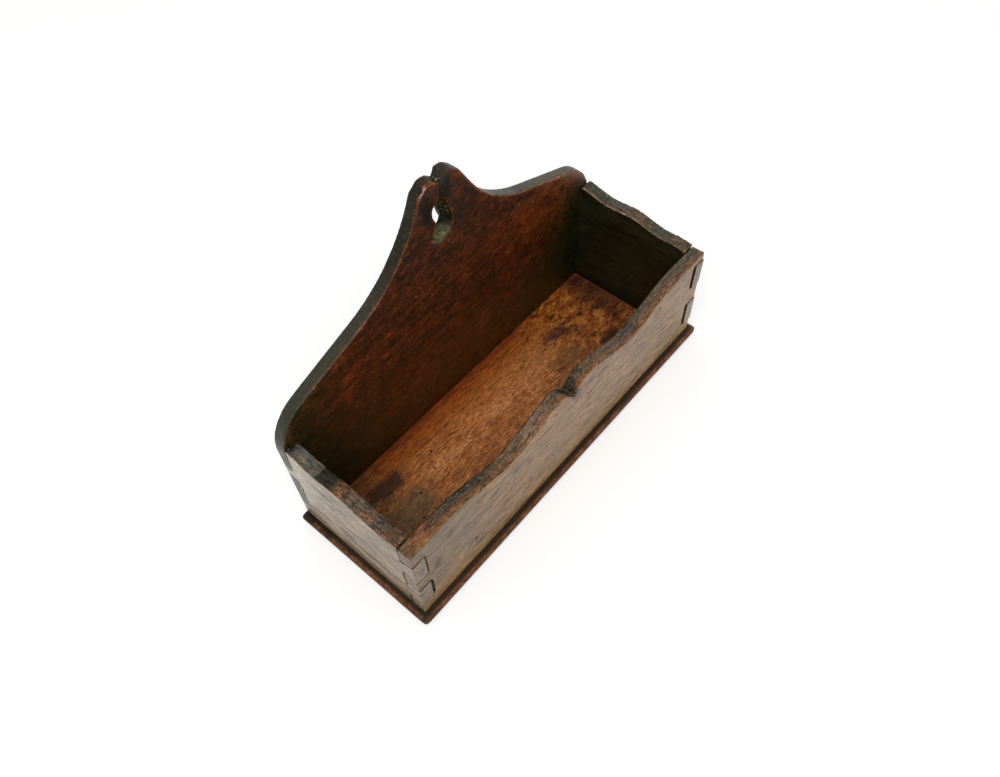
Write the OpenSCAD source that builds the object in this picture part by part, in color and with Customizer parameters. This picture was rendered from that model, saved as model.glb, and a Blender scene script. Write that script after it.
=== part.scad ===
// Dovetailed wooden wall tidy: an open box with a shaped and pierced back board.
// Millimetres, +Z up, front towards -Y, origin at the middle of the underside.

/* [Carcase] */
// Width over the two sides
body_w = 240; // [180:1:320]
// Depth from the front face to the rear face
body_d = 90; // [70:1:130]
// Height of the front board at the corners, above the base
front_h = 67; // [58:0.5:80]
// Rise of the side boards from front to back
side_rise = 6; // [0:0.5:12]
// Thickness of the front board
front_t = 8.6; // [6:0.1:12]
// Thickness of the back board
back_t = 7.3; // [6:0.1:12]
// Thickness of the side boards
side_t = 8.2; // [6:0.1:12]

/* [Back board] */
// Height of the crest's two lobes, above the base
crest_h = 158; // [146:0.5:176]
// Radius of the rounded shoulder at each end
shoulder_r = 27.5; // [12:0.5:36]
// Angle of the straight ramp that leaves the shoulder
ramp_a = 20; // [12:0.5:24]
// Radius of the hollow sweep from the ramp up to the crest
sweep_r = 84; // [50:1:100]
// Radius of each lobe of the crest
lobe_r = 6.9; // [4:0.1:7.4]
// Distance from the centre line to the middle of a lobe
lobe_off = 7.1; // [6.3:0.1:10]
// Depth of the cleft between the lobes
cleft_d = 3.8; // [2:0.1:9]
// Drop from the top of the crest to the middle of the hanging hole's wide lower end
hole_drop = 31; // [28:0.1:40]
// Radius of the hanging hole's wide lower end
hole_low_r = 7; // [5:0.1:9]
// Radius of the hanging hole's narrow upper end
hole_top_r = 4.9; // [2:0.1:6.5]
// Distance between the hanging hole's two end circles
hole_rise = 13.8; // [8:0.1:17]
// Sideways offset of the hanging hole from the centre line
hole_off = -1.8; // [-3:0.1:3]

/* [Front board] */
// Level length of the top edge at each corner
end_flat = 29; // [15:0.5:45]
// Depth of the hollow between a corner and the middle
dip_d = 9; // [2:0.1:14]
// Distance from the centre line to the crown beside the notch
crown_off = 10; // [8.5:0.1:16]
// Radius of the crown beside the notch
crown_r = 6.5; // [2:0.1:7.5]
// Depth of the notch in the middle
notch_d = 8.6; // [4:0.1:14]

/* [Side boards] */
// Number of shallow scallops along the top edge
scallop_n = 2; // [1:1:3]
// Depth of a scallop
scallop_d = 2.2; // [0:0.1:4]

/* [Dovetails] */
// Flare of a tail for each millimetre of its length
tail_slope = 0.33; // [0.15:0.01:0.4]
// Bottom half pin at the left front corner
left_low_pin = 8.2; // [5:0.1:14]
// Middle pin at the left front corner
left_mid_pin = 9.6; // [5:0.1:14]
// Top half pin at the left front corner
left_top_pin = 10.6; // [4:0.1:14]
// Bottom half pin at the right front corner
right_low_pin = 10.6; // [5:0.1:14]
// Middle pin at the right front corner
right_mid_pin = 13.4; // [5:0.1:16]
// Top half pin at the right front corner
right_top_pin = 4.8; // [4:0.1:14]
// Bottom half pin at the back corners
back_low_pin = 11.6; // [5:0.1:16]
// Lower tail of the back board
back_low_tail = 31.8; // [15:0.1:34]
// Middle pin at the back corners
back_mid_pin = 7.7; // [4:0.1:10]
// Gap along the flanks of pins and tails
joint_gap = 0.15; // [0.05:0.01:0.4]
// Shrinkage gap behind the tails at the left front corner
left_shrink = 0.5; // [0.1:0.1:2]
// Shrinkage gap behind the tails at the right front corner
right_shrink = 1.4; // [0.1:0.1:2]

/* [Base] */
// Thickness of the base board
base_t = 5; // [4:0.1:9]
// Overhang of the base past the front and the sides
base_lip = 3.6; // [2:0.1:8]
// Radius of the base's front corners, seen from above
base_corner_r = 3; // [1:0.1:6]

/* [Base nails] */
// Length of a nail, head included
nail_l = 20; // [12:0.5:26]
// Diameter of the shank
nail_d = 1.6; // [1:0.1:2.4]
// Diameter of the head
nail_head_d = 3.4; // [2.6:0.1:5]
// Thickness of the head
nail_head_t = 0.8; // [0.5:0.1:1.2]
// Length of the tapered point
nail_tip = 4; // [1:0.5:6]
// Depth of the head below the underside
nail_sink = 0.4; // [0.1:0.1:0.8]
// Gap around a nail
nail_gap = 0.05; // [0.02:0.01:0.1]
// Number of nails along the front and along the back
nail_n = 4; // [2:1:6]
// Distance of the end nails from the carcase's ends
nail_inset = 26; // [16:1:50]

/* [Hidden] */
// Largest turn between two points of an arc, in degrees
arc_step = 4;
// Longest step between two points of a waved edge
wave_step = 2.5;
// Length by which a cut runs past the face it opens
past = 1;
// Facets around a nail
nail_facets = 32;

half_w = body_w / 2;
rear_y = (body_d + base_lip) / 2;
front_y = rear_y - body_d;
front_in_y = front_y + front_t;
back_in_y = rear_y - back_t;
back_mid_z = back_low_pin + back_low_tail;
nose_r = base_t / 2;
base_half_w = half_w + base_lip;
base_front_y = front_y - base_lip;
base_corner_x = base_half_w - base_corner_r;
base_corner_y = base_front_y + base_corner_r;

function arc(c, r, a0, a1) =
    let (n = max(2, ceil(abs(a1 - a0) / arc_step)))
    [for (i = [0:n]) let (a = a0 + (a1 - a0) * i / n) c + r * [cos(a), sin(a)]];

function angle_of(v) = atan2(v[1], v[0]);

function mirrored(pts) = [for (i = [len(pts) - 1:-1:0]) [-pts[i][0], pts[i][1]]];

// Angle, seen from the circle's centre, where the line from p touches its right side
function touch_angle(p, c, r) = (angle_of(c - p) + 360) % 360 - asin(r / norm(c - p)) - 90;

// A rounded lump at c, from angle a0 over its top and down a straight line to the foot p
function lump(c, r, a0, p) = concat(arc(c, r, a0, touch_angle(p, c, r)), [p]);

// The back board's shoulder, ramp, sweep and lobe, from its left end to the centre line
shoulder_c = [shoulder_r - half_w, front_h];
ramp_dir = [cos(ramp_a), sin(ramp_a)];
ramp_up = [-sin(ramp_a), cos(ramp_a)];
lobe_c = [-lobe_off, crest_h - lobe_r];
to_lobe = lobe_c - shoulder_c - shoulder_r * ramp_up;
sweep_run = to_lobe * ramp_dir - sqrt((sweep_r + lobe_r) ^ 2 - (sweep_r - to_lobe * ramp_up) ^ 2);
sweep_c = shoulder_c + (shoulder_r + sweep_r) * ramp_up + sweep_run * ramp_dir;
sweep_a = angle_of(lobe_c - sweep_c);
crest_half = concat(
    arc(shoulder_c, shoulder_r, 180, 90 + ramp_a),
    arc(sweep_c, sweep_r, ramp_a - 90, sweep_a),
    lump(lobe_c, lobe_r, sweep_a + 180, [0, crest_h - cleft_d]));

// The hanging hole, an egg shape with its narrow end up
hole_c = [hole_off, crest_h - hole_drop];
hole_a = asin((hole_low_r - hole_top_r) / hole_rise);
hole_outline = concat(
    arc(hole_c + [0, hole_rise], hole_top_r, hole_a, 180 - hole_a),
    arc(hole_c, hole_low_r, 180 - hole_a, 360 + hole_a));

// The front board's top edge, from its left end to the centre line
dip_x0 = end_flat - half_w;
dip_len = -crown_off - dip_x0;
dip_n = ceil(dip_len / wave_step);
front_half = concat(
    [[-half_w, front_h]],
    [for (i = [0:dip_n - 1]) [dip_x0 + dip_len * i / dip_n, front_h - dip_d * sin(180 * i / dip_n) ^ 2]],
    lump([-crown_off, front_h - crown_r], crown_r, 90, [0, front_h - notch_d]));

// The side boards' top edge, from the rear face to the front board, as Y and Z
side_run = back_in_y - front_in_y;
side_n = ceil(side_run / wave_step);
side_top = concat(
    [[rear_y, front_h + side_rise]],
    [for (i = [side_n - 1:-1:0]) let (t = i / side_n)
        [front_in_y + side_run * t, front_h + side_rise * t - scallop_d * sin(180 * scallop_n * t) ^ 2]]);

// Two equal tails between the half pins and the middle pin, each as its bottom and top at the face
function two_tails(low_pin, mid_pin, top_pin) =
    let (tail = (front_h - low_pin - mid_pin - top_pin) / 2)
    [[low_pin, low_pin + tail], [front_h - top_pin - tail, front_h - top_pin]];

left_tails = two_tails(left_low_pin, left_mid_pin, left_top_pin);
right_tails = two_tails(right_low_pin, right_mid_pin, right_top_pin);

// A flank of a side board's tail, as its height at y, from z at the front face
function tail_flank(y, z, rise) = [y, z + rise * tail_slope * (y - front_y)];

// One tail in Y and Z, from its root's top round its end to its root's bottom, run over both faces
function tail_outline(span, gap, over) = [
    tail_flank(front_in_y + over, span[1] + gap, -1),
    tail_flank(front_y - over, span[1] + gap, -1),
    tail_flank(front_y - over, span[0] - gap, 1),
    tail_flank(front_in_y + over, span[0] - gap, 1)];

// A flank of a side board's rear pin, as its height at x, from z at the outer face
function pin_flank(x, z, rise) = [x, z + rise * tail_slope * (x + half_w)];

// The sockets for the back board's two tails in a left side board, in X and Z, run past both faces
socket_x0 = -half_w - past;
socket_x1 = side_t - half_w + past;
low_socket = [
    pin_flank(socket_x0, back_low_pin, 1),
    pin_flank(socket_x1, back_low_pin, 1),
    pin_flank(socket_x1, back_mid_z, -1),
    pin_flank(socket_x0, back_mid_z, -1)];
high_socket = [
    pin_flank(socket_x0, back_mid_z + back_mid_pin, 1),
    pin_flank(socket_x1, back_mid_z + back_mid_pin, 1),
    [socket_x1, crest_h],
    [socket_x0, crest_h]];

// The same pins as cuts in the back board, wider by the gap
function low_pin_outline(gap) = [
    [socket_x0, -past],
    [socket_x1 - past, -past],
    pin_flank(socket_x1 - past, back_low_pin + gap, 1),
    pin_flank(socket_x0, back_low_pin + gap, 1)];

function mid_pin_outline(gap) = [
    pin_flank(socket_x0, back_mid_z - gap, -1),
    pin_flank(socket_x1 - past, back_mid_z - gap, -1),
    pin_flank(socket_x1 - past, back_mid_z + back_mid_pin + gap, 1),
    pin_flank(socket_x0, back_mid_z + back_mid_pin + gap, 1)];

// Nail places: a row under the front board, a row under the back board, one under each side
nail_span = body_w - 2 * nail_inset;
nail_places = concat(
    [for (y = [front_y + front_t / 2, rear_y - back_t / 2], i = [0:nail_n - 1])
        [nail_span * (i / (nail_n - 1) - 0.5), y]],
    [for (side = [-1, 1]) [side * (half_w - side_t / 2), (front_in_y + back_in_y) / 2]]);

// Stands an X and Z outline upright, t deep from y towards the back
module upright(y, t) {
    translate([0, y + t, 0])
        rotate([90, 0, 0])
            linear_extrude(t) children();
}

// Stands a Y and Z outline upright, t wide from x towards the right
module crosswise(x, t) {
    translate([x, 0, 0])
        rotate([90, 0, 90])
            linear_extrude(t) children();
}

// A nail standing on its head, grown all round and with its head drawn out below
module nail_body(grow, below) {
    shank_r = nail_d / 2 + grow;
    head_r = nail_head_d / 2 + grow;
    rotate_extrude($fn = nail_facets)
        polygon([
            [0, -below],
            [head_r, -below],
            [head_r, nail_head_t + grow],
            [shank_r, nail_head_t + grow],
            [shank_r, nail_l - nail_tip],
            [0, nail_l + grow]]);
}

module all_nails(grow, below) {
    for (p = nail_places)
        translate([p[0], p[1], nail_sink]) nail_body(grow, below);
}

// The way in for the nails, open at the underside
module nail_ways() {
    all_nails(nail_gap, nail_sink + past);
}

module back_board() {
    color("#4a2414")
        difference() {
            translate([0, 0, base_t])
                upright(back_in_y, back_t)
                    difference() {
                        polygon(concat(
                            [[-half_w, 0]], crest_half, mirrored(crest_half), [[half_w, 0]]));
                        polygon(hole_outline);
                        for (side = [0, 1])
                            mirror([side, 0]) {
                                polygon(low_pin_outline(joint_gap));
                                polygon(mid_pin_outline(joint_gap));
                            }
                    }
            nail_ways();
        }
}

module front_board() {
    color("#8d7c6e")
        difference() {
            translate([0, 0, base_t])
                difference() {
                    upright(front_y, front_t)
                        polygon(concat(
                            [[-half_w, 0]], front_half, mirrored(front_half), [[half_w, 0]]));
                    for (span = left_tails)
                        crosswise(-half_w - past, past + side_t + left_shrink)
                            polygon(tail_outline(span, joint_gap, past));
                    for (span = right_tails)
                        crosswise(half_w - side_t - right_shrink, side_t + right_shrink + past)
                            polygon(tail_outline(span, joint_gap, past));
                }
            nail_ways();
        }
}

// A side board at the left end, with the given tails at its front and the pins at its back
module side_board(tails) {
    difference() {
        translate([0, 0, base_t])
            difference() {
                crosswise(-half_w, side_t)
                    polygon(concat(
                        [[front_in_y, 0], [rear_y, 0]], side_top,
                        tail_outline(tails[1], 0, 0), tail_outline(tails[0], 0, 0)));
                upright(back_in_y, back_t + past) {
                    polygon(low_socket);
                    polygon(high_socket);
                }
            }
        nail_ways();
    }
}

module left_side() {
    color("#a89d92") side_board(left_tails);
}

module right_side() {
    color("#6a4a34") mirror([1, 0, 0]) side_board(right_tails);
}

// The base: a slab with a half-round nose on its front and ends
module base_board() {
    color("#9a6038")
        difference() {
            intersection() {
                linear_extrude(base_t)
                    polygon(concat(
                        [[base_half_w, rear_y], [-base_half_w, rear_y]],
                        arc([-base_corner_x, base_corner_y], base_corner_r, 180, 270),
                        arc([base_corner_x, base_corner_y], base_corner_r, 270, 360)));
                upright(base_front_y - past, rear_y - base_front_y + 2 * past)
                    polygon(concat(
                        arc([nose_r - base_half_w, nose_r], nose_r, 270, 90),
                        arc([base_half_w - nose_r, nose_r], nose_r, 90, -90)));
                crosswise(-base_half_w - past, 2 * (base_half_w + past))
                    polygon(concat(
                        [[rear_y + past, 0], [rear_y + past, base_t]],
                        arc([base_front_y + nose_r, nose_r], nose_r, 90, 270)));
            }
            nail_ways();
        }
}

module base_nails() {
    color("#3a332e") all_nails(0, 0);
}

back_board();
front_board();
left_side();
right_side();
base_board();
base_nails();
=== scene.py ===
import math

import bmesh
import bpy
import numpy as np
from mathutils import Matrix, Vector, noise


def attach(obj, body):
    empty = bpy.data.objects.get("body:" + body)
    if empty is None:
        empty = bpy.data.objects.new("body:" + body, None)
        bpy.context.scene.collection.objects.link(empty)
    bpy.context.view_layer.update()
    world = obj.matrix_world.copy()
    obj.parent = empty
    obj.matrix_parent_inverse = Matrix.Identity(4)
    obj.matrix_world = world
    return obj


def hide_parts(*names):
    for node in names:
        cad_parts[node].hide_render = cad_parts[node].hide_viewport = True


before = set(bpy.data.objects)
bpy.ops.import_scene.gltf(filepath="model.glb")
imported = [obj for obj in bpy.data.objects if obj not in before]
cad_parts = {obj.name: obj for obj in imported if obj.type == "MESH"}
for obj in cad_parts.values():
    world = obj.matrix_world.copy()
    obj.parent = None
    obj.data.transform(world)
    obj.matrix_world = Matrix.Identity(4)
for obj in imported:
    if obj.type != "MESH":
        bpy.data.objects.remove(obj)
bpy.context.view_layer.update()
mm = 0.001
scene = bpy.context.scene
print("frame loaded:", ", ".join(sorted(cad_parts)))

# the camera, set by the corners of the box in the photograph: its place in mm, its angles in degrees
view = {
    "place": (-196.2, -175.0, 412.2), "heading": -46.90, "tilt": 34.68, "roll": -3.16,
    "lens": 29.525, "sensor": 36.0, "nearest": 10,
}

lens = bpy.data.cameras.new("photoView")
lens.lens = view["lens"]
lens.sensor_width = view["sensor"]
lens.sensor_fit = "HORIZONTAL"
lens.clip_start = view["nearest"] * mm
camera = bpy.data.objects.new("photoView", lens)
camera.matrix_world = (
    Matrix.Translation(Vector(view["place"]) * mm)
    @ Matrix.Rotation(math.radians(view["heading"]), 4, "Z")
    @ Matrix.Rotation(math.radians(view["tilt"]), 4, "X")
    @ Matrix.Rotation(math.radians(view["roll"]), 4, "Z")
)
scene.collection.objects.link(camera)
scene.camera = camera


def hexColour(code):
    # sRGB hex to the linear values that sockets take
    parts = [int(code[i:i + 2], 16) / 255 for i in (1, 3, 5)]
    return tuple(c / 12.92 if c <= 0.04045 else ((c + 0.055) / 1.055) ** 2.4 for c in parts) + (1.0,)


def addNode(tree, kind, links=None, ramp=None, **settings):
    node = tree.nodes.new("ShaderNode" + kind)
    for name, value in settings.items():
        setattr(node, name, value)
    for socket, value in (links or {}).items():
        if isinstance(value, bpy.types.NodeSocket):
            tree.links.new(value, node.inputs[socket])
        else:
            node.inputs[socket].default_value = value
    for i, (spot, code) in enumerate(ramp or []):
        stop = node.color_ramp.elements[i] if i < 2 else node.color_ramp.elements.new(spot)
        stop.position = spot
        stop.color = hexColour(code)
    return node


def newMaterial(name):
    material = bpy.data.materials.new(name)
    material.use_nodes = True
    material.node_tree.nodes.clear()
    return material, material.node_tree


def seenDirectly(tree):
    # 1 for what the camera sees, straight or by reflection or through glass, 0 for light that falls on the object
    path = addNode(tree, "LightPath").outputs
    seen = addNode(tree, "Math", {0: path["Is Camera Ray"], 1: path["Is Glossy Ray"]}, operation="MAXIMUM").outputs[0]
    return addNode(tree, "Math", {0: seen, 1: path["Is Transmission Ray"]}, operation="MAXIMUM").outputs[0]


def pieceFrom(bm, name):
    mesh = bpy.data.meshes.new(name)
    bm.to_mesh(mesh)
    bm.free()
    piece = bpy.data.objects.new(name, mesh)
    scene.collection.objects.link(piece)
    return piece


# light: a white paper sweep, an even sky and one large soft box above the left front, in metres and watts
studio = {
    "sky": 0.62, "boxPlace": (-0.75, -0.55, 1.55), "boxSize": 1.1, "boxPower": 13.0,
    "paper": "#f0f0ef", "paperLift": 0.29, "paperSize": 6.0,
}

world = bpy.data.worlds.new("evenSky")
scene.world = world
world.use_nodes = True
tree = world.node_tree
tree.nodes.clear()
strength = addNode(tree, "MapRange", {"Value": seenDirectly(tree), "To Min": studio["sky"], "To Max": 1.0})
sky = addNode(tree, "Background", {"Color": (1, 1, 1, 1), "Strength": strength.outputs[0]})
addNode(tree, "OutputWorld", {"Surface": sky.outputs[0]})

boxLamp = bpy.data.lights.new("softBox", "AREA")
boxLamp.shape = "SQUARE"
boxLamp.size = studio["boxSize"]
boxLamp.energy = studio["boxPower"]
softBox = bpy.data.objects.new("softBox", boxLamp)
softBox.location = studio["boxPlace"]
softBox.rotation_euler = Vector(studio["boxPlace"]).to_track_quat("Z", "Y").to_euler()
scene.collection.objects.link(softBox)

# matt white paper: an even white that keeps the object's soft shadow
paperWhite, tree = newMaterial("paperWhite")
lift = addNode(tree, "Math", {0: seenDirectly(tree), 1: studio["paperLift"]}, operation="MULTIPLY")
matt = addNode(tree, "BsdfDiffuse", {"Color": hexColour(studio["paper"])})
glow = addNode(tree, "Emission", {"Color": (1, 1, 1, 1), "Strength": lift.outputs[0]})
both = addNode(tree, "AddShader", {0: matt.outputs[0], 1: glow.outputs[0]})
addNode(tree, "OutputMaterial", {"Surface": both.outputs[0]})
bm = bmesh.new()
bmesh.ops.create_grid(bm, x_segments=1, y_segments=1, size=studio["paperSize"] / 2)
paper = pieceFrom(bm, "paperSweep")
paper.data.materials.append(paperWhite)
scene.view_settings.view_transform = "Standard"
print("camera, sky, soft box and paper set")


def settle(piece):
    # what the modifiers give becomes the piece's own mesh
    graph = bpy.context.evaluated_depsgraph_get()
    worked = bpy.data.meshes.new_from_object(piece.evaluated_get(graph))
    rough = piece.data
    piece.modifiers.clear()
    piece.data = worked
    bpy.data.meshes.remove(rough)
    worked.name = piece.name


def pointsOf(mesh):
    flat = np.empty(len(mesh.vertices) * 3, np.float32)
    mesh.vertices.foreach_get("co", flat)
    return flat.reshape(-1, 3)


def lumps(points, size):
    # smooth noise, about -1 to 1, in lumps of the given size in mm along X, Y and Z
    return np.array([noise.noise(p) for p in (points / mm / np.array(size)).tolist()], np.float32)


def ease(low, high, value):
    t = np.clip((value - low) / (high - low), 0, 1)
    return t * t * (3 - 2 * t)


def fineBoard(node, name, skin):
    # a merged copy of the CAD board, given an even fine skin that can be worn
    bm = bmesh.new()
    bm.from_mesh(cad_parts[node].data)
    bmesh.ops.remove_doubles(bm, verts=bm.verts, dist=0.002 * mm)
    if "reshape" in skin:
        skin["reshape"](bm)
    board = pieceFrom(bm, name)
    fine = board.modifiers.new("fineSkin", "REMESH")
    fine.mode = "VOXEL"
    fine.voxel_size = skin["step"] * mm
    settle(board)
    if "nudge" in skin:
        points = pointsOf(board.data)
        moved = points + skin["nudge"](points / mm) * mm
        board.data.vertices.foreach_set("co", moved.astype(np.float32).ravel())
        board.data.update()
    return board


# wear: shares of the full rounding, how far a face turns before it counts as the edge, and flakes as shares of noise
wear = {
    "even": 0.75, "patchy": 0.7, "least": 0.1, "most": 1.15, "bareLeast": 0.35,
    "edgeTurn": (0.8, 0.5), "flakes": (0.05, 0.3), "smallSize": 0.35, "smallShare": 0.35,
}


def wearDown(board, skin):
    # rounds the arrises where hands and knocks reach, planes the faces unevenly and pits the top edge
    mesh = board.data
    sharp = pointsOf(mesh)
    flat = np.empty(len(mesh.vertices) * 3, np.float32)
    mesh.vertex_normals.foreach_get("vector", flat)
    outward = flat.reshape(-1, 3)
    bm = bmesh.new()
    bm.from_mesh(mesh)
    for turn in range(skin["turns"]):
        bmesh.ops.smooth_vert(bm, verts=bm.verts, factor=0.5, use_axis_x=True, use_axis_y=True, use_axis_z=True)
    bm.to_mesh(mesh)
    bm.free()
    rounded = pointsOf(mesh)
    patchy = wear["even"] + wear["patchy"] * lumps(sharp, skin["patch"])
    share = np.clip(skin["handled"](sharp / mm) * patchy, wear["least"], wear["most"])
    worn = sharp + share[:, None] * (rounded - sharp)

    hollow = skin["hollow"] * (0.5 + 0.5 * lumps(sharp, skin["hollowSize"]))
    topEdge = ease(*wear["edgeTurn"], np.abs(outward[:, skin["thick"]])) * ease(*skin["edgeFrom"], sharp[:, 2] / mm)
    smallFlake = [size * wear["smallSize"] for size in skin["flakeSize"]]
    flakes = lumps(sharp, skin["flakeSize"]) + wear["smallShare"] * lumps(sharp, smallFlake)
    flakes = ease(*wear["flakes"], flakes)
    worn -= outward * (hollow + topEdge * flakes * skin["flake"])[:, None] * mm
    mesh.vertices.foreach_set("co", worn.astype(np.float32).ravel())

    # the material reads these: how bare each arris is rubbed, and where the edge has flaked
    bare = ((sharp - rounded) * outward).sum(1) / mm
    bare = np.clip(bare / skin["bareAt"], 0, 1) * (wear["bareLeast"] + (1 - wear["bareLeast"]) * share)
    for name, values in (("bare", bare), ("flake", topEdge * flakes)):
        layer = mesh.attributes.new(name, "FLOAT", "POINT")
        layer.data.foreach_set("value", values.astype(np.float32))
    mesh.update()
    thin = board.modifiers.new("thin", "DECIMATE")
    thin.ratio = min(1.0, skin["triangles"] / (2 * len(mesh.polygons)))  # the skin is all quads
    settle(board)


right, back, up = (1, 0, 0), (0, 1, 0), (0, 0, 1)
left, front = (-1, 0, 0), (0, -1, 0)

# cracks: lumps of noise per mm that they wander and widen by, their width's mean and swing, and its share at the foot
crackForm = {
    "wanders": 0.45, "widens": 0.2, "widensFrom": (5, 3, 1), "width": 0.6, "swing": 0.4, "foot": 0.25, "above": 1.0,
}


def crackBlade(run, wide, deep, across, out, wander=0.25, cuts=28):
    # a thin wedge that follows a run of points in mm, to cut a crack: wide at the face, thin at its foot
    bm = bmesh.new()
    bmesh.ops.create_cube(bm, size=1.0)
    lengthwise = [e for e in bm.edges if abs(e.verts[0].co.x - e.verts[1].co.x) > 0.5]
    bmesh.ops.subdivide_edges(bm, edges=lengthwise, cuts=cuts)
    steps = [Vector(p) for p in run]
    for v in bm.verts:
        t = (v.co.x + 0.5) * (len(steps) - 1)
        i = min(int(t), len(steps) - 2)
        spot = steps[i].lerp(steps[i + 1], t - i)
        shake = noise.noise(spot * crackForm["wanders"]) * wander
        swell = noise.noise(spot * crackForm["widens"] + Vector(crackForm["widensFrom"]))
        taper = 1.0 if v.co.z > 0 else crackForm["foot"]
        width = wide * (crackForm["width"] + crackForm["swing"] * swell) * taper
        height = crackForm["above"] if v.co.z > 0 else -deep
        v.co = (spot + Vector(across) * (v.co.y * width + shake) + Vector(out) * height) * mm
    bmesh.ops.recalc_face_normals(bm, faces=bm.faces)
    if bm.calc_volume(signed=True) < 0:
        bmesh.ops.reverse_faces(bm, faces=bm.faces)
    return pieceFrom(bm, "blade")


def pitBlade(pits, out, lift=0.15):
    # small lens-shaped pits at places in mm, each with its half sizes in mm
    bm = bmesh.new()
    for spot, size in pits:
        made = bmesh.ops.create_icosphere(bm, subdivisions=2, radius=1.0)["verts"]
        bmesh.ops.scale(bm, vec=Vector(size) * mm, verts=made)
        bmesh.ops.translate(bm, vec=(Vector(spot) + Vector(out) * lift) * mm, verts=made)
    return pieceFrom(bm, "blade")


def boreBlade(bores, deep, foot=0.75, sides=14):
    # worm holes, straight down from places in mm with their radii
    bm = bmesh.new()
    for spot, radius in bores:
        made = bmesh.ops.create_cone(bm, cap_ends=True, segments=sides, radius1=radius * foot * mm, radius2=radius * mm,
                                     depth=2 * deep * mm)["verts"]
        bmesh.ops.translate(bm, vec=Vector(spot) * mm, verts=made)
    return pieceFrom(bm, "blade")


# old dirt packed into cracks and holes: a dull brown black that shows every opening as a dark line
packedDirt, tree = newMaterial("packedDirt")
dirt = addNode(tree, "BsdfPrincipled", {"Base Color": hexColour("#0d0a06"), "Roughness": 0.9, "IOR": 1.3})
addNode(tree, "OutputMaterial", {"Surface": dirt.outputs[0]})


def cutMarks(board, blades):
    for blade in blades:
        blade.data.materials.append(packedDirt)
        cut = board.modifiers.new("cut", "BOOLEAN")
        cut.operation = "DIFFERENCE"
        cut.solver = "MANIFOLD"
        cut.material_mode = "TRANSFER"
        cut.object = blade
    settle(board)
    for blade in blades:
        bpy.data.meshes.remove(blade.data)

    # slivers that the cracks cut loose fall out
    bm = bmesh.new()
    bm.from_mesh(board.data)
    waiting, islands = set(bm.verts), []
    while waiting:
        rim = {waiting.pop()}
        island = list(rim)
        while rim:
            rim = {e.other_vert(v) for v in rim for e in v.link_edges} & waiting
            waiting -= rim
            island += rim
        islands.append(island)
    islands.sort(key=len)
    bmesh.ops.delete(bm, geom=[v for island in islands[:-1] for v in island], context="VERTS")
    bm.to_mesh(board.data)
    bm.free()


# what all the timber shares: where patterns count as low and high, how oval patches fade, and relief in mm
timber = {
    "swirl": 0.3, "patches": (0.3, 0.7), "stainEdge": (1.15, 0.35), "gritLeast": 0.2,
    "pores": (0.58, 0.68), "poreDepth": -0.8, "fuzz": {"fibres": 1.2, "specks": 0.8}, "reliefHeight": 0.15,
    "ior": 1.5, "gloss": 0.5, "waxTint": "#fff6d8",
}


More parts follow.
